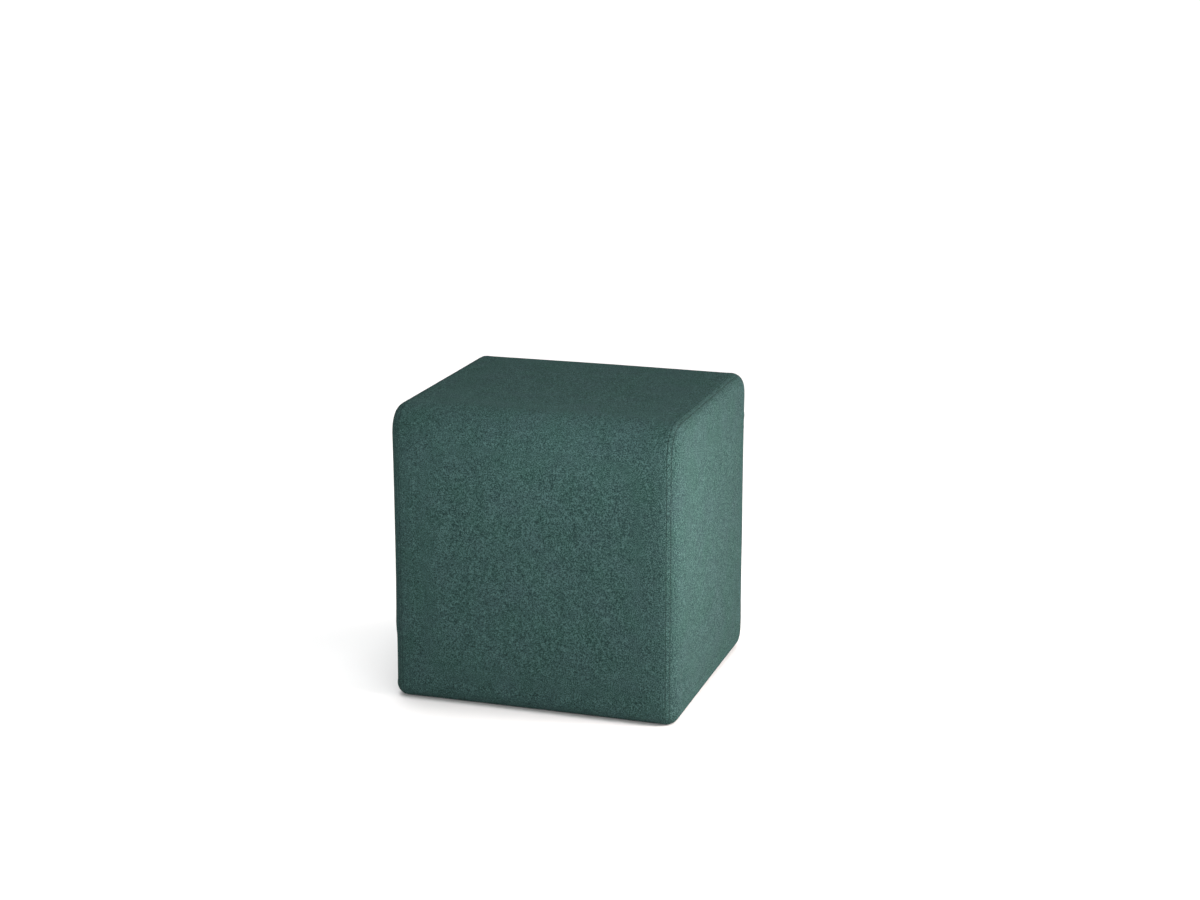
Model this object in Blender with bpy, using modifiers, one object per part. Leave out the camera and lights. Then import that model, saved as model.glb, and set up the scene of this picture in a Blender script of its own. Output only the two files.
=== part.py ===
"""Cube pouf stool: a firm foam cube in a felt cover.

One band of felt wraps the front, top, back and base. A side panel closes each end. It is turned
over the rounded edge, lapped on the band and top-stitched, so the seam runs on the band's side of
the edge. The faces swell a little between the seams and are drawn in towards them.

Metres, +Z up. The origin is the middle of the base, the front faces -Y and the side panels face
-X and +X.
"""

import math

import bmesh
import bpy

# Size of the cube at its edges, before the faces swell.
WIDTH = 0.444
DEPTH = 0.407
HEIGHT = 0.450

# Roundings of the band's four edges, clockwise as seen from the right side (+X).
# Each quarter turn is drawn from its start angle, measured from the back (+Y) towards the top.
BAND_EDGES = (
    # depth side, height side, radius, facets, start angle
    (-1, 0, 0.022, 4, 270),  # front bottom
    (-1, 1, 0.044, 6, 180),  # front top
    (1, 1, 0.041, 6, 90),  # back top
    (1, 0, 0.040, 5, 0),  # back bottom
)
QUARTER_TURN = 90
STEPS_BETWEEN_EDGES = 5
SIDE_ROUNDING = 0.021

# How far each face swells in its middle, how much of that is left along its edges, and how flat
# the middle is: a higher power gives a flatter face that falls away nearer to its edges.
FRONT_SWELL = 0.0030
TOP_SWELL = 0.0020
SIDE_SWELL = 0.0025
EDGE_SHARE = 0.25
BAND_POWER = 6
HEIGHT_POWER = 4
SIDE_POWER = 4

CLOTH = 0.0025
GAP = 0.0003

# The seam, measured round the side rounding from where it starts.
SEAM = 0.0045
SEAT_DROP = CLOTH + GAP

# Felt rolls down into the seam on the band, and stands up over the turned edge of the panel,
# down again at the row of top-stitching.
BAND_LIP = (
    # distance before the seam, height
    (0.0030, 0.0),
    (0.0012, -0.0001),
    (GAP / 2, -0.0007),
)
PANEL_HEM = (
    # distance past the seam, height
    (GAP / 2, -0.0005),
    (0.0010, 0.0003),
    (0.0035, 0.0005),
    (0.0060, 0.0003),
    (0.0070, -0.0004),
    (0.0082, 0.0),
)
# Rows of points round the rest of the rounding, as distances past the seam.
PANEL_ROWS = (0.0125, 0.0170, 0.0215, 0.0255)

# Rows across the band from its middle to the start of the side rounding, as shares of that.
BAND_ROWS = (0.0, 0.26, 0.50, 0.70, 0.84, 0.93, 1.0)
# Rows across a side face, as shares of its outline, and the middle is one flat patch.
FACE_ROWS = (0.93, 0.82, 0.66, 0.45)

FELT_COLOUR = (0.068, 0.135, 0.126, 1.0)
PANEL_COLOUR = (0.076, 0.150, 0.139, 1.0)
FELT_ROUGHNESS = 0.95

# Facets that meet at more than this stay sharp, and points nearer than this become one.
CREASE_ANGLE = math.radians(40)
MERGE_DISTANCE = 0.00005

ROUNDING_START = WIDTH / 2 - SIDE_ROUNDING
SEAM_X = ROUNDING_START + SIDE_ROUNDING * math.sin(SEAM / SIDE_ROUNDING)
ROUNDING_LENGTH = SIDE_ROUNDING * math.pi / 2


def clear_scene():
    """Remove whatever objects the file holds."""
    for thing in list(bpy.data.objects):
        bpy.data.objects.remove(thing, do_unlink=True)


def felt(name, colour):
    """A matt felt in the given colour."""
    material = bpy.data.materials.new(name)
    material.use_nodes = True
    shader = material.node_tree.nodes["Principled BSDF"]
    shader.inputs["Base Color"].default_value = colour
    shader.inputs["Roughness"].default_value = FELT_ROUGHNESS
    shader.inputs["Metallic"].default_value = 0.0
    material.diffuse_color = colour
    return material


def fall(place, reach, power, share=0.0):
    """Swell left at a place: 1 in the middle, falling to the given share at the reach."""
    return 1 - (1 - share) * min(abs(place) / reach, 1.0) ** power


def swell(x, y, z):
    """Push a point of the plain cube outwards, as the filling does. The base stays flat."""
    across = fall(x, SEAM_X, BAND_POWER, EDGE_SHARE)
    deep = fall(y, DEPTH / 2, HEIGHT_POWER, EDGE_SHARE)
    high = fall(z - HEIGHT / 2, HEIGHT / 2, HEIGHT_POWER, EDGE_SHARE)
    side = fall(y, DEPTH / 2, SIDE_POWER) * fall(z - HEIGHT / 2, HEIGHT / 2, SIDE_POWER)
    return (
        x * (1 + SIDE_SWELL / (WIDTH / 2) * side),
        y * (1 + FRONT_SWELL / (DEPTH / 2) * across * high),
        z * (1 + TOP_SWELL / HEIGHT * across * deep),
    )


def edge_arc(depth_side, height_side, radius, facets, start_angle, inset):
    """Points (y, z) round one edge of the profile, with the profile drawn in by inset."""
    middle_y = depth_side * (DEPTH / 2 - radius)
    middle_z = HEIGHT - radius if height_side else radius
    arc = []
    for step in range(facets + 1):
        angle = math.radians(start_angle - QUARTER_TURN * step / facets)
        y = middle_y + (radius - inset) * math.cos(angle)
        z = middle_z + (radius - inset) * math.sin(angle)
        arc.append((y, z))
    return arc


def profile(inset, scale=1.0):
    """The side profile drawn in by inset, then scaled about its middle, as (y, z) points."""
    arcs = [edge_arc(*edge, inset) for edge in BAND_EDGES]
    points = []
    for arc, next_arc in zip(arcs, arcs[1:] + arcs[:1]):
        points += arc
        (y0, z0), (y1, z1) = arc[-1], next_arc[0]
        for step in range(1, STEPS_BETWEEN_EDGES):
            share = step / STEPS_BETWEEN_EDGES
            points.append((y0 + (y1 - y0) * share, z0 + (z1 - z0) * share))
    middle = HEIGHT / 2
    return [(y * scale, middle + (z - middle) * scale) for y, z in points]


def ring(x, inset, scale=1.0):
    """One row of points round the pouf at x."""
    return [swell(x, y, z) for y, z in profile(inset, scale)]


def rounding_ring(distance, height):
    """The row at a distance round the side rounding, raised from it by height."""
    angle = distance / SIDE_ROUNDING
    radius = SIDE_ROUNDING + height
    return ring(ROUNDING_START + radius * math.sin(angle), SIDE_ROUNDING - radius * math.cos(angle))


def end_rings(height):
    """Rows from the rounding's end to the middle patch of a side face, raised by height."""
    x = ROUNDING_START + SIDE_ROUNDING + height
    return [rounding_ring(ROUNDING_LENGTH, height)] + [
        ring(x, SIDE_ROUNDING, scale) for scale in FACE_ROWS
    ]


def lofted_mesh(name, rings, cap_start, cap_end):
    """A mesh of faces from each ring to the next, capped where asked."""
    shape = bmesh.new()
    rows = [[shape.verts.new(point) for point in points] for points in rings]
    for row, next_row in zip(rows, rows[1:]):
        for i in range(len(row)):
            j = (i + 1) % len(row)
            shape.faces.new((row[i], row[j], next_row[j], next_row[i]))
    if cap_start:
        shape.faces.new(list(reversed(rows[0])))
    if cap_end:
        shape.faces.new(rows[-1])
    bmesh.ops.recalc_face_normals(shape, faces=shape.faces)
    mesh = bpy.data.meshes.new(name)
    shape.to_mesh(mesh)
    shape.free()
    mesh.shade_smooth()
    mesh.set_sharp_from_angle(angle=CREASE_ANGLE)
    return mesh


def add_object(name, mesh, material, collection):
    """Put a mesh in the collection as an object with its material."""
    thing = bpy.data.objects.new(name, mesh)
    thing.data.materials.append(material)
    collection.objects.link(thing)
    return thing


def build_body(collection):
    """The filled cube in its band, stepped down at both ends to seat the side panels."""
    rings = [ring(ROUNDING_START * share, 0.0) for share in BAND_ROWS]
    rings += [rounding_ring(SEAM - before, height) for before, height in BAND_LIP]
    rings += [rounding_ring(SEAM - GAP / 2, -SEAT_DROP)]
    rings += [rounding_ring(SEAM + past, -SEAT_DROP) for past in PANEL_ROWS]
    rings += end_rings(-SEAT_DROP)
    mesh = lofted_mesh("pouf_body", rings, cap_start=False, cap_end=True)
    body = add_object("pouf_body", mesh, felt("band_felt", FELT_COLOUR), collection)
    other_half = body.modifiers.new("Mirror", "MIRROR")
    other_half.use_axis = (True, False, False)
    other_half.use_mirror_merge = True
    other_half.merge_threshold = MERGE_DISTANCE


def build_panel(name, side, material, collection):
    """A side panel: felt over one end, its turned edge lapped on the band and top-stitched."""
    outer = [rounding_ring(SEAM + past, height) for past, height in PANEL_HEM]
    outer += [rounding_ring(SEAM + past, 0.0) for past in PANEL_ROWS]
    outer += end_rings(0.0)
    inner = [rounding_ring(SEAM + GAP / 2, -CLOTH)]
    inner += [rounding_ring(SEAM + past, -CLOTH) for past in PANEL_ROWS]
    inner += end_rings(-CLOTH)
    rings = [[(side * x, y, z) for x, y, z in points] for points in outer[::-1] + inner]
    mesh = lofted_mesh(name, rings, cap_start=True, cap_end=True)
    add_object(name, mesh, material, collection)


def main():
    clear_scene()
    collection = bpy.data.collections.new("cube_pouf_stool")
    bpy.context.scene.collection.children.link(collection)
    build_body(collection)
    panel_felt = felt("panel_felt", PANEL_COLOUR)
    build_panel("side_panel_right", 1, panel_felt, collection)
    build_panel("side_panel_left", -1, panel_felt, collection)


main()
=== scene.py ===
"""Looks of the cube pouf stool: its swollen felt cover, lapped side seams, top-stitching and stage.

The file is laid out as an add-on and is run as a script. Everything is in metres, +Z up, with the
front towards -Y and the side panels at -X and +X.
"""

import math

import bmesh
import bpy
from bpy.props import FloatProperty, FloatVectorProperty, PointerProperty
from mathutils import Euler, Matrix, Vector


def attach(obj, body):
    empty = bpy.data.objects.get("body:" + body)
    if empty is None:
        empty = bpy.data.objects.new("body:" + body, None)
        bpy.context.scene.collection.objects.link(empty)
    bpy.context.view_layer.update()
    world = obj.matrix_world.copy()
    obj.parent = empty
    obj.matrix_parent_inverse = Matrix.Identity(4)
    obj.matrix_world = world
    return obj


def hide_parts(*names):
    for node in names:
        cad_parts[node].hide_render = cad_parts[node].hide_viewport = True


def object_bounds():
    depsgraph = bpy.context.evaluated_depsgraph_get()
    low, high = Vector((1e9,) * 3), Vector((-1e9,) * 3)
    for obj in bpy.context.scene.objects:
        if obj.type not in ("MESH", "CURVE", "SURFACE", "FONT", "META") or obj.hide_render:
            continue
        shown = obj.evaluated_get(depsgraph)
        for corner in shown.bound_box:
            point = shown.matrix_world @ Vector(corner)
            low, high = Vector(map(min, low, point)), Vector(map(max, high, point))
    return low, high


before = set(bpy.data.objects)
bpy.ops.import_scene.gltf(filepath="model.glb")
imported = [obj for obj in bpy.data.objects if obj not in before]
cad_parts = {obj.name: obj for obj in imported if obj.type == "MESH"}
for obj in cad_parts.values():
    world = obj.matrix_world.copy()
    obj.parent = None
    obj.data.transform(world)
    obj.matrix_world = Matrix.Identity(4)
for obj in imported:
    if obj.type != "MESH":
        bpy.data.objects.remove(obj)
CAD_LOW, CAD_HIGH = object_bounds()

bl_info = {
    "name": "Cube pouf stool",
    "version": (1, 0, 0),
    "blender": (4, 5, 0),
    "location": "3D View > Sidebar > Pouf",
    "description": "Models a felt cube pouf with swollen faces and lapped, top-stitched side seams",
    "category": "Add Mesh",
}

# The frame's only body. Every piece rides on it.
BODY = "root"

# Names of the cover's form and its pieces, and the side of the X axis that each panel is on.
FORM = "cover_form"
BAND = "felt_band"
PANELS = {"left": -1, "right": 1}

# Roundings of the band's four edges.
BAND_EDGES = (
    # depth side, height side, radius, facets
    (-1, 0, 0.022, 8),  # front bottom
    (-1, 1, 0.044, 14),  # front top
    (1, 1, 0.041, 14),  # back top
    (1, 0, 0.040, 12),  # back bottom
)
SIDE_ROUNDING = 0.021
SIDE_FACETS = 12
# Spacing of the points on the flat parts of the cover, before it is subdivided.
GRID = 0.012

# Swell left at the edges of the band's faces, and of the side faces, as shares of their middle.
EDGE_SHARE = 0.25
SIDE_EDGE_SHARE = 0.02
# How flat the middle is: a higher power gives a flatter face that falls away nearer to its edges.
ACROSS_POWER = 8
FACE_POWER = 4

# The cloth that the cover is simulated as, and the air that fills it.
CLOTH = {
    "quality": 6,
    "mass": 0.4,
    "tension_stiffness": 60,
    "compression_stiffness": 60,
    "shear_stiffness": 20,
    "bending_stiffness": 5,
    "use_pressure": True,
    "uniform_pressure_force": 4,
}
FIRST_FRAME = 1
LAST_FRAME = 20

# The felt rolls down into the seam on the band. The panel's turned edge stands a little proud at
# the seam and falls to the groove of its top-stitching. Distances run round the side rounding,
# away from the seam.
BAND_LIP = (
    # distance, height
    (0.0002, -0.00060),
    (0.0004, -0.00035),
    (0.0010, -0.00010),
    (0.0022, 0.0),
)
PANEL_HEM = (
    # distance, height
    (0.0002, -0.00040),
    (0.0004, -0.00005),
    (0.0010, 0.00010),
    (0.0022, 0.00008),
    (0.0038, 0.00004),
    (0.0052, 0.0),
    (0.0062, -0.00010),
    (0.0070, -0.00035),
    (0.0078, -0.00010),
    (0.0090, 0.0),
)
# The pull of the seam rounds the cube's upright side edges off. Distances run from before the seam
# to past it. The level side edges take a share of the same heights. It is negative, so they stand
# out a little.
ROUNDING_OFF = (
    # distance, height
    (-0.0200, 0.0),
    (-0.0160, -0.00005),
    (-0.0130, -0.00015),
    (-0.0100, -0.00032),
    (-0.0070, -0.00062),
    (-0.0045, -0.00100),
    (-0.0022, -0.00145),
    (0.0000, -0.00188),
    (0.0033, -0.00235),
    (0.0066, -0.00265),
    (0.0100, -0.00277),
    (0.0130, -0.00274),
    (0.0160, -0.00255),
    (0.0190, -0.00215),
    (0.0220, -0.00155),
    (0.0250, -0.00085),
    (0.0285, 0.0),
)
LEVEL_EDGE_SHARE = -0.4
# Subdividing the cover moves the row of points on its seam by less than this.
SEAM_DRIFT = 0.0003

# Place of the row of top-stitching, as a distance past the seam.
TOPSTITCH = 0.0070
# How far a stitch is raised from the middle of its groove, as a share of its thickness.
STITCH_LIFT = 0.2
STITCH_SEGMENTS = 8
STITCH_RINGS = 6
# Points of the thread's ball that go to an end of the stitch, and those that dive into the felt
# there, lie beyond these shares of its radius.
STITCH_END = 0.1
STITCH_TIP = 0.7

X, Y, Z = range(3)
# Places nearer than this to each other count as one.
NEAR = 1e-5
# Slack for rounding errors where lengths are added up.
SLACK = 1e-7
# Facets that meet at more than this stay sharp.
CREASE = math.radians(40)


# ---------------------------------------------------------------- settings


class PoufSizes(bpy.types.PropertyGroup):
    """Sizes of the pouf"""

    front_swell: FloatProperty(
        name="Front swell", description="How far the front and back stand out in their middle",
        default=0.0030, min=0.0, unit="LENGTH")
    top_swell: FloatProperty(
        name="Top swell", description="How far the seat stands out in its middle",
        default=0.0020, min=0.0, unit="LENGTH")
    side_swell: FloatProperty(
        name="Side swell", description="How far the side panels stand out in their middle",
        default=0.0025, min=0.0, unit="LENGTH")
    seam: FloatProperty(
        name="Seam place", description="Distance of the seam from the start of the side rounding",
        default=0.0045, min=0.001, unit="LENGTH")
    felt: FloatProperty(
        name="Felt thickness", description="Thickness of the side panels' felt",
        default=0.0025, min=0.001, unit="LENGTH")
    seat: FloatProperty(
        name="Seat depth", description="How deep the filling steps down under a side panel",
        default=0.0030, min=0.001, unit="LENGTH")
    stitch: FloatProperty(
        name="Stitch length", description="Length of thread that shows in one stitch",
        default=0.0032, min=0.001, unit="LENGTH")
    pitch: FloatProperty(
        name="Stitch pitch", description="Distance from one stitch to the next",
        default=0.0040, min=0.001, unit="LENGTH")
    thread: FloatProperty(
        name="Thread thickness", description="Diameter of the sewing thread",
        default=0.0008, min=0.0001, unit="LENGTH")


class PoufFinish(bpy.types.PropertyGroup):
    """Colours and finish of the pouf"""

    felt: FloatVectorProperty(
        name="Felt", description="Middle tone of the felt",
        default=(0.0225, 0.0488, 0.0451), subtype="COLOR", size=3, min=0.0, max=1.0)
    light_fibre: FloatVectorProperty(
        name="Light fibres", description="Colour of the palest fibres in the melange",
        default=(0.0506, 0.1010, 0.0948), subtype="COLOR", size=3, min=0.0, max=1.0)
    dark_fibre: FloatVectorProperty(
        name="Dark fibres", description="Colour of the darkest fibres in the melange",
        default=(0.0072, 0.0170, 0.0158), subtype="COLOR", size=3, min=0.0, max=1.0)
    thread: FloatVectorProperty(
        name="Thread", description="Colour of the sewing thread",
        default=(0.012, 0.026, 0.024), subtype="COLOR", size=3, min=0.0, max=1.0)
    sheen: FloatProperty(
        name="Sheen", description="How much the felt's raised fibres catch grazing light",
        default=0.004, min=0.0, max=1.0, subtype="FACTOR")


class PoufStage(bpy.types.PropertyGroup):
    """Floor, light and camera"""

    floor: FloatVectorProperty(
        name="Floor", description="Colour of the floor",
        default=(0.85, 0.85, 0.85), subtype="COLOR", size=3, min=0.0, max=1.0)
    surround: FloatProperty(
        name="Surround", description="Brightness of the white studio all around",
        default=0.30, min=0.0)
    lens: FloatProperty(
        name="Lens", description="Focal length of the camera",
        default=68.3, min=1.0, unit="CAMERA")
    camera_place: FloatVectorProperty(
        name="Camera place", description="Where the camera stands",
        default=(1.060, -3.181, 1.239), subtype="TRANSLATION", size=3)
    camera_tilt: FloatProperty(
        name="Camera tilt", description="How far the camera looks down",
        default=math.radians(14.82), subtype="ANGLE")
    camera_turn: FloatProperty(
        name="Camera turn", description="How far the camera is turned to the left",
        default=math.radians(17.75), subtype="ANGLE")


def sizes():
    """The sizes set in the scene."""
    return bpy.context.scene.pouf_sizes


def finish():
    """The colours and finish set in the scene."""
    return bpy.context.scene.pouf_finish


def cube_size():
    """Width, depth and height of the cube at its edges, before its faces swell."""
    whole = CAD_HIGH - CAD_LOW
    return (whole.x - 2 * sizes().side_swell,
            whole.y - 2 * sizes().front_swell,
            whole.z - sizes().top_swell)


def rounding_start():
    """The place on the X axis where the side rounding starts."""
    return cube_size()[X] / 2 - SIDE_ROUNDING


def row_x(distance):
    """The place on the X axis of a row round the side rounding, at a distance past the seam."""
    angle = (sizes().seam + distance) / SIDE_ROUNDING
    return rounding_start() + SIDE_ROUNDING * math.sin(angle)


def past_seam(x):
    """How far past the seam a point at x lies, round the side rounding."""
    reach = min(max((abs(x) - rounding_start()) / SIDE_ROUNDING, -1.0), 1.0)
    return SIDE_ROUNDING * math.asin(reach) - sizes().seam


def height_at(profile, distance):
    """Height that a table of distances and heights gives at a distance."""
    if distance <= profile[0][0]:
        return profile[0][1]
    for (start, low), (end, high) in zip(profile, profile[1:]):
        if distance <= end:
            return low + (high - low) * (distance - start) / (end - start)
    return profile[-1][1]


# ---------------------------------------------------------------- modelling


def choose(thing):
    """Select one object alone."""
    bpy.ops.object.select_all(action="DESELECT")
    thing.select_set(True)
    bpy.context.view_layer.objects.active = thing


def open_edit(thing):
    """Open one object's mesh for editing."""
    choose(thing)
    bpy.ops.object.mode_set(mode="EDIT")


def close_edit():
    """Close the mesh that is open for editing."""
    bpy.ops.object.mode_set(mode="OBJECT")


def pick(kind, test):
    """Select the points, edges or faces of the open object that pass the test."""
    bpy.ops.mesh.select_mode(type=kind)
    bpy.ops.mesh.select_all(action="DESELECT")
    mesh = bpy.context.object.data
    shape = bmesh.from_edit_mesh(mesh)
    for part in {"VERT": shape.verts, "EDGE": shape.edges, "FACE": shape.faces}[kind]:
        if test(part):
            part.select_set(True)
    bmesh.update_edit_mesh(mesh)


def cut(axis, place):
    """Cut the whole open object across an axis."""
    point, normal = Vector(), Vector()
    point[axis] = place
    normal[axis] = 1
    bpy.ops.mesh.select_mode(type="VERT")
    bpy.ops.mesh.select_all(action="SELECT")
    bpy.ops.mesh.bisect(plane_co=point, plane_no=normal, threshold=NEAR)


def cut_grid(axis, low, high):
    """Cut the open object across an axis, from low to high, at about the grid's spacing."""
    steps = max(1, round((high - low) / GRID))
    for step in range(steps + 1):
        cut(axis, low + (high - low) * step / steps)


def bevel(radius, facets):
    """Round the selected edges of the open object."""
    bpy.ops.mesh.bevel(
        offset=radius, segments=facets, profile=0.5, affect="EDGES", clamp_overlap=False)


def copy_of(thing, name):
    """A copy of an object with its own mesh."""
    choose(thing)
    bpy.ops.object.duplicate(linked=False)
    copy = bpy.context.object
    copy.name = copy.data.name = name
    return copy


def apply_modifier(thing, kind, **settings):
    """Give the object a modifier with these settings and apply it."""
    choose(thing)
    bpy.ops.object.modifier_add(type=kind)
    modifier = thing.modifiers[-1]
    for name, value in settings.items():
        setattr(modifier, name, value)
    bpy.ops.object.modifier_apply(modifier=modifier.name)


def outward(point):
    """Outward direction of the cover at a point, from its place round the side rounding."""
    turn = (past_seam(point.co.x) + sizes().seam) / SIDE_ROUNDING
    turn = min(max(turn, 0.0), math.pi / 2)
    around = Vector((0, point.normal.y, point.normal.z)).normalized()
    return around * math.cos(turn) + Vector((math.copysign(math.sin(turn), point.co.x), 0, 0))


def place_seam_row(thing, distance):
    """Slide the row of points that subdividing moved off the seam to a distance past it."""
    mesh = thing.data
    place = row_x(distance)
    shape = bmesh.new()
    shape.from_mesh(mesh)
    for point in shape.verts:
        if abs(past_seam(point.co.x)) < SEAM_DRIFT:
            reach = abs(point.co.x)
            towards = max if place > reach else min
            goal = towards((edge.other_vert(point).co for edge in point.link_edges),
                           key=lambda spot: abs(spot.x))
            point.co = point.co.lerp(goal, (place - reach) / (abs(goal.x) - reach))
    shape.to_mesh(mesh)
    shape.free()


def rounding_off(point):
    """How far a point moves by the rounding off of its side edge, from how upright that edge is."""
    deep, high = point.normal.yz
    upright = deep ** 2 / max(deep ** 2 + high ** 2, NEAR)
    share = LEVEL_EDGE_SHARE + (1 - LEVEL_EDGE_SHARE) * upright
    return outward(point) * height_at(ROUNDING_OFF, past_seam(point.co.x)) * share


def relief(point, before, past):
    """How far a point stands out or in beside the seam, by the heights before and past it."""
    distance = past_seam(point.co.x)
    return outward(point) * height_at(past if distance > 0 else before, abs(distance))


def move_points(thing, moves):
    """Move the object's first points by these moves, none of them into the floor."""
    mesh = thing.data
    for point, move in zip(mesh.vertices, moves):
        point.co += move
        point.co.z = max(point.co.z, 0.0)
    mesh.update()


def finish_piece(piece, material):
    """Smooth a finished piece, dress it, and let it ride on the pouf."""
    choose(piece)
    bpy.ops.object.shade_smooth_by_angle(angle=CREASE)
    piece.data.materials.clear()
    piece.data.materials.append(material)
    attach(piece, BODY)


# ---------------------------------------------------------------- shading


class Socket:
    """A shader socket that can stand in a sum, a product or a comparison."""

    def __init__(self, paint, link):
        self.paint = paint
        self.link = link

    def math(self, operation, *others):
        return self.paint.node(
            "ShaderNodeMath", {"operation": operation}, dict(enumerate((self, *others))))

    def __add__(self, other):
        return self.math("ADD", other)

    def __sub__(self, other):
        return self.math("SUBTRACT", other)

    def __rsub__(self, other):
        return self.paint.node(
            "ShaderNodeMath", {"operation": "SUBTRACT"}, {0: other, 1: self})

    def __mul__(self, other):
        return self.math("MULTIPLY", other)

    __radd__ = __add__
    __rmul__ = __mul__

    def between(self, low, high):
        """0 at low, 1 at high, and clamped outside them."""
        return self.paint.node(
            "ShaderNodeMapRange", {"clamp": True},
            {"Value": self, "From Min": low, "From Max": high, "To Min": 0.0, "To Max": 1.0})


class Paint:
    """A node tree that nodes are added to by type, settings and sockets."""

    def __init__(self, tree):
        self.tree = tree
        tree.nodes.clear()

    def node(self, kind, settings=None, inputs=None, output=0):
        """Add a node, set it up, and give one of its outputs."""
        made = self.tree.nodes.new(kind)
        for name, value in (settings or {}).items():
            setattr(made, name, value)
        for name, value in (inputs or {}).items():
            if isinstance(value, Socket):
                self.tree.links.new(value.link, made.inputs[name])
            else:
                made.inputs[name].default_value = value
        return Socket(self, made.outputs[output] if made.outputs else None)

    def mix(self, share, first, second):
        """The first colour where share is 0 and the second where it is 1."""
        # A Mix node's colour sockets are its seventh and eighth inputs and third output.
        return self.node(
            "ShaderNodeMix", {"data_type": "RGBA"}, {0: share, 6: first, 7: second}, 2)


def colour(value):
    """A solid colour for a shader socket."""
    return (*value, 1.0)


def new_paint(name):
    """A new material and the paint of its node tree."""
    material = bpy.data.materials.new(name)
    material.use_nodes = True
    return material, Paint(material.node_tree)


# Sizes in the felt's finish.
FIBRE_LENGTH = 0.0070
FIBRE_WIDTH = 0.0011
FIBRE_TURNS = 5
SPECKLE = 0.0015
GRIT = 0.0055
CLOUD = 0.024
DRIFT = 0.050
# Each layer of fibres is turned by this angle from the one before, in these shares about X, Y and
# Z, so that fibres cross on every face of the pouf.
GOLDEN_ANGLE = math.radians(137.5)
FIBRE_TILT = (1.0, 0.7, 1.3)
# How much each layer of the finish moves the felt towards its pale or dark fibres.
SPECKLE_GAIN = 2.2
STRAND_GAIN = 0.80
GRIT_GAIN = 0.36
CLOUD_GAIN = 0.15
# How much the specks add to the felt's relief, and how deep that relief is.
SPECKLE_RELIEF = 0.6
FELT_RELIEF = 0.0015
# The two tints that the felt's middle tone drifts between.
GREENER = Vector((0.90, 1.00, 0.93))
GREYER = Vector((1.10, 1.00, 1.08))
SHEEN_TINT = (0.85, 0.97, 1.0)
# Size and depth of the thread's plies, and the shades of its tone that they run between.
PLY = 0.0004
PLY_RELIEF = 0.0001
DARK_PLY = 0.7
PALE_PLY = 1.3
# The middle of a noise, and the range that most of it lies in.
MIDDLE = 0.5
MOST = (0.3, 0.7)


def fibres(paint, place, turn):
    """Noise drawn out in one direction, as fibres that lie that way in the felt."""
    angle = GOLDEN_ANGLE * turn
    laid = paint.node(
        "ShaderNodeMapping", {"vector_type": "TEXTURE"},
        {"Vector": place,
         "Rotation": Euler([angle * share for share in FIBRE_TILT]),
         "Scale": (FIBRE_LENGTH, FIBRE_WIDTH, FIBRE_WIDTH)})
    return paint.node(
        "ShaderNodeTexNoise", {}, {"Vector": laid, "Scale": 1.0, "Detail": 1.0, "Distortion": 0.2})


def noise(paint, place, size, detail):
    """Noise with patches of about this size."""
    return paint.node(
        "ShaderNodeTexNoise", {}, {"Vector": place, "Scale": 1.0 / size, "Detail": detail})


def felt_material():
    """Dark green melange felt: pale and dark fibres crossing, fine specks and soft clouds."""
    material, paint = new_paint("felt")
    tones = finish()
    place = paint.node("ShaderNodeTexCoord", output="Object")
    layers = [fibres(paint, place, turn) for turn in range(FIBRE_TURNS)]
    pale = layers[0]
    dark = layers[0]
    for layer in layers[1:]:
        pale = pale.math("MAXIMUM", layer)
        dark = dark.math("MINIMUM", layer)
    strands = (pale + dark) * 0.5
    specks = noise(paint, place, SPECKLE, detail=1.0)
    grit = noise(paint, place, GRIT, detail=1.0)
    clouds = noise(paint, place, CLOUD, detail=2.0)
    drift = noise(paint, place, DRIFT, detail=2.0)

    base = paint.mix(
        drift.between(*MOST),
        colour(Vector(tones.felt) * GREENER), colour(Vector(tones.felt) * GREYER))
    blend = (MIDDLE + (specks - MIDDLE) * SPECKLE_GAIN + (strands - MIDDLE) * STRAND_GAIN
             + (grit - MIDDLE) * GRIT_GAIN + (clouds - MIDDLE) * CLOUD_GAIN)
    tone = paint.mix(blend.between(MIDDLE, 1.0), base, colour(tones.light_fibre))
    tone = paint.mix(blend.between(MIDDLE, 0.0), tone, colour(tones.dark_fibre))
    height = strands + specks * SPECKLE_RELIEF
    bump = paint.node(
        "ShaderNodeBump", {}, {"Strength": 1.0, "Distance": FELT_RELIEF, "Height": height})
    shader = paint.node(
        "ShaderNodeBsdfPrincipled", {},
        {"Base Color": tone, "Roughness": 0.95, "Normal": bump, "Specular IOR Level": 0.03,
         "Sheen Weight": tones.sheen, "Sheen Roughness": 0.45, "Sheen Tint": colour(SHEEN_TINT)})
    paint.node("ShaderNodeOutputMaterial", {}, {"Surface": shader})
    return material


def thread_material():
    """Matt spun thread, its plies shown as a fine mottle of paler and darker tones."""
    material, paint = new_paint("thread")
    tone = Vector(finish().thread)
    place = paint.node("ShaderNodeTexCoord", output="Object")
    plies = noise(paint, place, PLY, detail=1.0)
    mixed = paint.mix(plies.between(*MOST), colour(tone * DARK_PLY), colour(tone * PALE_PLY))
    bump = paint.node(
        "ShaderNodeBump", {}, {"Strength": 0.4, "Distance": PLY_RELIEF, "Height": plies})
    shader = paint.node(
        "ShaderNodeBsdfPrincipled", {},
        {"Base Color": mixed, "Roughness": 0.7, "Normal": bump, "Specular IOR Level": 0.1})
    paint.node("ShaderNodeOutputMaterial", {}, {"Surface": shader})
    return material


def plain_material(name, tone):
    """A matt material in one tone."""
    material, paint = new_paint(name)
    shader = paint.node("ShaderNodeBsdfDiffuse", {}, {"Color": colour(tone)})
    paint.node("ShaderNodeOutputMaterial", {}, {"Surface": shader})
    return material


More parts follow.
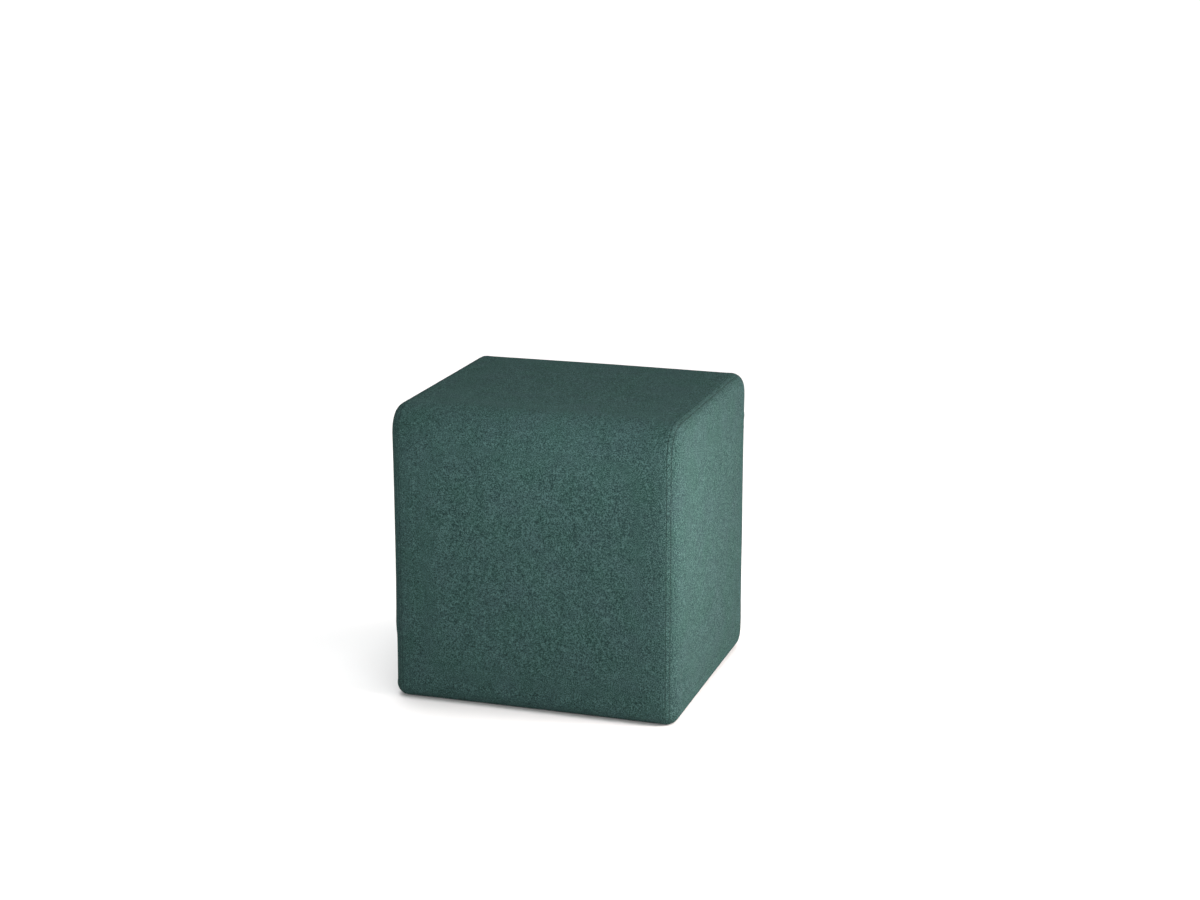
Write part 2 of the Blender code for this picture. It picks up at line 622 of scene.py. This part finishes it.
def shared(make):
    """The material that a function makes, made the first time it is asked for."""
    name = f"pouf_{make.__name__}"
    if name not in bpy.data.materials:
        make().name = name
    return bpy.data.materials[name]


# ---------------------------------------------------------------- the cover


def rounded_cube():
    """The plain cube with its edges rounded, cut into an even grid."""
    width, depth, height = cube_size()
    bpy.ops.object.select_all(action="DESELECT")
    bpy.ops.mesh.primitive_cube_add(
        size=1, location=(0, 0, height / 2), scale=(width, depth, height))
    cube = bpy.context.object
    cube.name = cube.data.name = FORM
    bpy.ops.object.transform_apply(location=True, rotation=False, scale=True)
    open_edit(cube)
    for depth_side, height_side, radius, facets in BAND_EDGES:
        corner = Vector((depth_side * depth / 2, height_side * height))
        pick("EDGE", lambda edge: all((v.co.yz - corner).length < NEAR for v in edge.verts))
        bevel(radius, facets)
    # The edges round the side faces have both points at the same end of the X axis.
    pick("EDGE", lambda edge: abs(sum(v.co.x for v in edge.verts)) > width - NEAR)
    bevel(SIDE_ROUNDING, SIDE_FACETS)
    front = max(radius for side, _, radius, _ in BAND_EDGES if side < 0)
    back = max(radius for side, _, radius, _ in BAND_EDGES if side > 0)
    low = max(radius for _, side, radius, _ in BAND_EDGES if not side)
    high = max(radius for _, side, radius, _ in BAND_EDGES if side)
    cut_grid(X, -rounding_start(), rounding_start())
    cut_grid(Y, front - depth / 2, depth / 2 - back)
    cut_grid(Z, low, height - high)
    for side in PANELS.values():
        cut(X, side * row_x(0))
    close_edit()
    return cube


def fall(place, reach, power, share):
    """Swell left at a place: 1 in the middle, falling to the given share at the reach."""
    return 1 - (1 - share) * min(abs(place) / reach, 1.0) ** power


def swell_limits(place):
    """How far a point of the cover may move along X, Y and Z."""
    _, depth, height = cube_size()
    above_middle = place.z - height / 2
    across = fall(place.x, row_x(0), ACROSS_POWER, EDGE_SHARE)
    deep = fall(place.y, depth / 2, FACE_POWER, EDGE_SHARE)
    high = fall(above_middle, height / 2, FACE_POWER, EDGE_SHARE)
    side = (fall(place.y, depth / 2, FACE_POWER, SIDE_EDGE_SHARE)
            * fall(above_middle, height / 2, FACE_POWER, SIDE_EDGE_SHARE))
    return (sizes().side_swell * side, sizes().front_swell * across * high,
            sizes().top_swell * across * deep)


def swell(cover):
    """Swell the cover with air, its seams and base held, and keep each point near its own limit."""
    rest = [point.co.copy() for point in cover.data.vertices]
    seam = row_x(0)
    held = cover.vertex_groups.new(name="held")
    held.add([i for i, p in enumerate(rest) if p.z < NEAR or abs(abs(p.x) - seam) < NEAR],
             1.0, "REPLACE")
    choose(cover)
    bpy.ops.object.modifier_add(type="CLOTH")
    cloth = cover.modifiers[-1]
    for name, value in CLOTH.items():
        setattr(cloth.settings, name, value)
    cloth.settings.vertex_group_mass = held.name
    cloth.settings.effector_weights.gravity = 0
    cloth.point_cache.frame_start = FIRST_FRAME
    cloth.point_cache.frame_end = LAST_FRAME
    for number in range(FIRST_FRAME, LAST_FRAME + 1):
        bpy.context.scene.frame_set(number)
    bpy.ops.object.modifier_apply(modifier=cloth.name)
    bpy.context.scene.frame_set(FIRST_FRAME)
    for point, start in zip(cover.data.vertices, rest):
        move = point.co - start
        point.co = start + Vector(
            limit * math.tanh(share / limit) for limit, share in zip(swell_limits(start), move))
    cover.vertex_groups.clear()
    cover.data.update()


class POUF_OT_fill_cover(bpy.types.Operator):
    """Model the rounded cube and swell it as its filling does"""

    bl_idname = "pouf.fill_cover"
    bl_label = "Fill cover"

    def execute(self, context):
        cover = rounded_cube()
        swell(cover)
        apply_modifier(cover, "SUBSURF", levels=1, render_levels=1)
        return {"FINISHED"}


class POUF_OT_cut_band(bpy.types.Operator):
    """Make the filled band that wraps front, top, back and base, stepped down under the panels"""

    bl_idname = "pouf.cut_band"
    bl_label = "Cut band"

    def execute(self, context):
        band = copy_of(bpy.data.objects[FORM], BAND)
        edge = -BAND_LIP[0][0]
        place_seam_row(band, edge)
        open_edit(band)
        for side in PANELS.values():
            for distance, _ in BAND_LIP:
                cut(X, side * row_x(-distance))
        pick("FACE", lambda face: all(abs(v.co.x) > row_x(edge) - NEAR for v in face.verts))
        close_edit()
        move_points(band, [rounding_off(point) + relief(point, BAND_LIP, BAND_LIP[:1])
                           for point in band.data.vertices])
        open_edit(band)
        bpy.ops.mesh.extrude_region_shrink_fatten(
            TRANSFORM_OT_shrink_fatten={"value": -sizes().seat})
        close_edit()
        finish_piece(band, shared(felt_material))
        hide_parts("pouf_body")
        return {"FINISHED"}


class POUF_OT_sew_side_panels(bpy.types.Operator):
    """Make the side panels, turned over the rounded edge and lapped on the band"""

    bl_idname = "pouf.sew_side_panels"
    bl_label = "Sew side panels"

    def execute(self, context):
        edge = PANEL_HEM[0][0]
        for name, side in PANELS.items():
            panel = copy_of(bpy.data.objects[FORM], f"felt_panel_{name}")
            place_seam_row(panel, edge)
            open_edit(panel)
            for distance, _ in PANEL_HEM:
                cut(X, side * row_x(distance))
            pick("FACE", lambda face: all(v.co.x * side < row_x(edge) + NEAR for v in face.verts))
            bpy.ops.mesh.delete(type="FACE")
            close_edit()
            inner = [rounding_off(point) for point in panel.data.vertices]
            outer = [move + relief(point, PANEL_HEM, PANEL_HEM)
                     for point, move in zip(panel.data.vertices, inner)]
            # Solidifying keeps the outer points in their order and adds the inner ones after them.
            apply_modifier(panel, "SOLIDIFY", thickness=sizes().felt, offset=-1)
            move_points(panel, outer + inner)
            finish_piece(panel, shared(felt_material))
            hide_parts(f"side_panel_{name}")
        return {"FINISHED"}


# ---------------------------------------------------------------- top-stitching


def model_stitch():
    """One stitch along X: a length of thread that dives into the felt at both ends."""
    radius = sizes().thread / 2
    reach = sizes().stitch / 2 - radius
    bpy.ops.object.select_all(action="DESELECT")
    bpy.ops.mesh.primitive_uv_sphere_add(
        segments=STITCH_SEGMENTS, ring_count=STITCH_RINGS, radius=radius,
        rotation=(0, math.pi / 2, 0))
    stitch = bpy.context.object
    stitch.name = stitch.data.name = "stitch"
    bpy.ops.object.transform_apply(location=False, rotation=True, scale=False)
    open_edit(stitch)
    for side in (-1, 1):
        pick("VERT", lambda v: v.co.x * side > radius * STITCH_END)
        bpy.ops.transform.translate(value=(side * reach, 0, 0))
        pick("VERT", lambda v: v.co.x * side > reach + radius * STITCH_TIP)
        bpy.ops.transform.translate(value=(0, 0, -radius))
    close_edit()
    return stitch


def groove(side):
    """Points and outward directions along the top-stitched groove, in order round the pouf."""
    row = copy_of(bpy.data.objects[FORM], "groove")
    place = side * row_x(TOPSTITCH)
    open_edit(row)
    cut(X, place)
    close_edit()
    found = [(v.co + rounding_off(v), outward(v))
             for v in row.data.vertices if abs(v.co.x - place) < NEAR]
    bpy.data.objects.remove(row)
    middle = cube_size()[Z] / 2
    found.sort(key=lambda spot: math.atan2(spot[0].z - middle, spot[0].y))
    return found


def spaced(spots, pitch):
    """Places spread evenly round a closed row, near the pitch, and directions along it and out."""
    closed = spots + spots[:1]
    lengths = [(b[0] - a[0]).length for a, b in zip(closed, closed[1:])]
    count = round(sum(lengths) / pitch)
    step = sum(lengths) / count
    travelled = 0.0
    wanted = 0.0
    for (a, out_a), (b, out_b), length in zip(closed, closed[1:], lengths):
        while wanted < travelled + length - SLACK and length > 0:
            share = (wanted - travelled) / length
            yield a.lerp(b, share), (b - a).normalized(), out_a.lerp(out_b, share).normalized()
            wanted += step
        travelled += length


class POUF_OT_topstitch(bpy.types.Operator):
    """Sew the row of top-stitching along each side panel's turned edge"""

    bl_idname = "pouf.topstitch"
    bl_label = "Top-stitch"

    def execute(self, context):
        stitch = model_stitch()
        lift = sizes().thread * STITCH_LIFT + height_at(PANEL_HEM, TOPSTITCH)
        for name, side in PANELS.items():
            row = []
            for place, along, out in spaced(groove(side), sizes().pitch):
                across = out.cross(along)
                turn = Matrix((along, across, along.cross(across))).transposed().to_4x4()
                copy = stitch.copy()
                copy.data = stitch.data.copy()
                copy.data.transform(Matrix.Translation(place + out * lift) @ turn)
                context.collection.objects.link(copy)
                row.append(copy)
            bpy.ops.object.select_all(action="DESELECT")
            for copy in row:
                copy.select_set(True)
            context.view_layer.objects.active = row[0]
            bpy.ops.object.join()
            joined = context.object
            joined.name = joined.data.name = f"topstitch_{name}"
            finish_piece(joined, shared(thread_material))
        bpy.data.objects.remove(stitch)
        bpy.data.objects.remove(bpy.data.objects[FORM])
        return {"FINISHED"}


# ---------------------------------------------------------------- stage


WHITE = (1.0, 1.0, 1.0)
WARM = (1.0, 0.91, 0.885)
# Directions are an azimuth, 0 in front of the pouf and 90 at its right, and an elevation.
WALLS = (
    # name, azimuth, elevation, strength, colour
    ("right_wall", 95, 12, 0.285, WARM),
    ("back_right_wall", 115, 12, 0.87, WARM),
    ("ceiling_back", 180, 70, 0.60, WHITE),
    ("ceiling_left", 270, 70, 0.235, WHITE),
)
# How wide a wall looks as a light. Wider gives softer shadows.
WALL_SPREAD = math.radians(40)
SOFTBOXES = (
    # name, azimuth, elevation, distance, side, watts, colour
    ("front_softbox", 0, 8, 1.0, 0.5, 4.1, WHITE),
    ("edge_softbox", 10, 35, 0.55, 0.25, 0.9, WHITE),
    ("key_softbox", 70, 10, 0.6, 0.25, 2.6, WARM),
    ("right_softbox", 85, 8, 1.7, 0.9, 26.0, WARM),
)
# The softboxes are turned towards this place, and stay this far above the floor.
AIM = Vector((0, 0, 0.25))
FLOOR_CLEARANCE = 0.02
FLOOR_SIZE = 80.0


def direction(azimuth, elevation):
    """Direction from the pouf to a light, from its azimuth and elevation in degrees."""
    turn, rise = math.radians(azimuth), math.radians(elevation)
    return Vector((
        math.sin(turn) * math.cos(rise), -math.cos(turn) * math.cos(rise), math.sin(rise)))


def bright_wall(name, azimuth, elevation, strength, tone):
    """Soft light from a whole side of the studio."""
    bpy.ops.object.light_add(
        type="SUN", rotation=direction(azimuth, elevation).to_track_quat("Z", "Y").to_euler())
    light = bpy.context.object
    light.name = name
    light.data.angle = WALL_SPREAD
    light.data.energy = math.pi * strength
    light.data.color = tone


def softbox(name, azimuth, elevation, distance, side, watts, tone):
    """A square softbox near the pouf, turned towards it and clear of the floor."""
    away = direction(azimuth, elevation)
    place = AIM + away * distance
    place.z = max(place.z, side / 2 + FLOOR_CLEARANCE)
    bpy.ops.object.light_add(
        type="AREA", location=place, rotation=away.to_track_quat("Z", "Y").to_euler())
    light = bpy.context.object
    light.name = name
    light.data.size = side
    light.data.energy = watts
    light.data.color = tone
    light.visible_camera = False


def white_world(strength):
    """White light of one strength from all around."""
    world = bpy.data.worlds.new("white_studio")
    world.use_nodes = True
    paint = Paint(world.node_tree)
    light = paint.node(
        "ShaderNodeBackground", {}, {"Color": colour(WHITE), "Strength": strength})
    paint.node("ShaderNodeOutputWorld", {}, {"Surface": light})
    return world


class POUF_OT_set_stage(bpy.types.Operator):
    """Lay the white floor, light the studio and place the camera"""

    bl_idname = "pouf.set_stage"
    bl_label = "Set stage"

    def execute(self, context):
        scene = context.scene
        stage = scene.pouf_stage
        bpy.ops.object.select_all(action="DESELECT")
        bpy.ops.mesh.primitive_plane_add(size=FLOOR_SIZE)
        floor = context.object
        floor.name = "studio_floor"
        floor.data.materials.append(plain_material("white_floor", stage.floor))
        scene.world = white_world(stage.surround)
        for wall in WALLS:
            bright_wall(*wall)
        for box in SOFTBOXES:
            softbox(*box)
        bpy.ops.object.camera_add(
            location=stage.camera_place,
            rotation=(math.pi / 2 - stage.camera_tilt, 0, stage.camera_turn))
        camera = context.object
        camera.data.lens = stage.lens
        scene.camera = camera
        scene.view_settings.view_transform = "Standard"
        return {"FINISHED"}


# ---------------------------------------------------------------- add-on


class POUF_PT_panel(bpy.types.Panel):
    """Steps and settings of the pouf"""

    bl_label = "Cube pouf stool"
    bl_idname = "POUF_PT_panel"
    bl_space_type = "VIEW_3D"
    bl_region_type = "UI"
    bl_category = "Pouf"

    def draw(self, context):
        for step in STEPS:
            self.layout.operator(step.bl_idname)
        for group, kind in SETTINGS.items():
            box = self.layout.box()
            for name in kind.__annotations__:
                box.prop(getattr(context.scene, group), name)


STEPS = (
    POUF_OT_fill_cover,
    POUF_OT_cut_band,
    POUF_OT_sew_side_panels,
    POUF_OT_topstitch,
    POUF_OT_set_stage,
)
SETTINGS = {
    "pouf_sizes": PoufSizes,
    "pouf_finish": PoufFinish,
    "pouf_stage": PoufStage,
}


def register():
    for kind in (*SETTINGS.values(), *STEPS, POUF_PT_panel):
        bpy.utils.register_class(kind)
    for name, kind in SETTINGS.items():
        setattr(bpy.types.Scene, name, PointerProperty(type=kind))


def unregister():
    for name in SETTINGS:
        delattr(bpy.types.Scene, name)
    for kind in (POUF_PT_panel, *STEPS, *SETTINGS.values()):
        bpy.utils.unregister_class(kind)


def main():
    register()
    bpy.ops.pouf.fill_cover()
    bpy.ops.pouf.cut_band()
    bpy.ops.pouf.sew_side_panels()
    bpy.ops.pouf.topstitch()
    bpy.ops.pouf.set_stage()


if __name__ == "__main__":
    main()
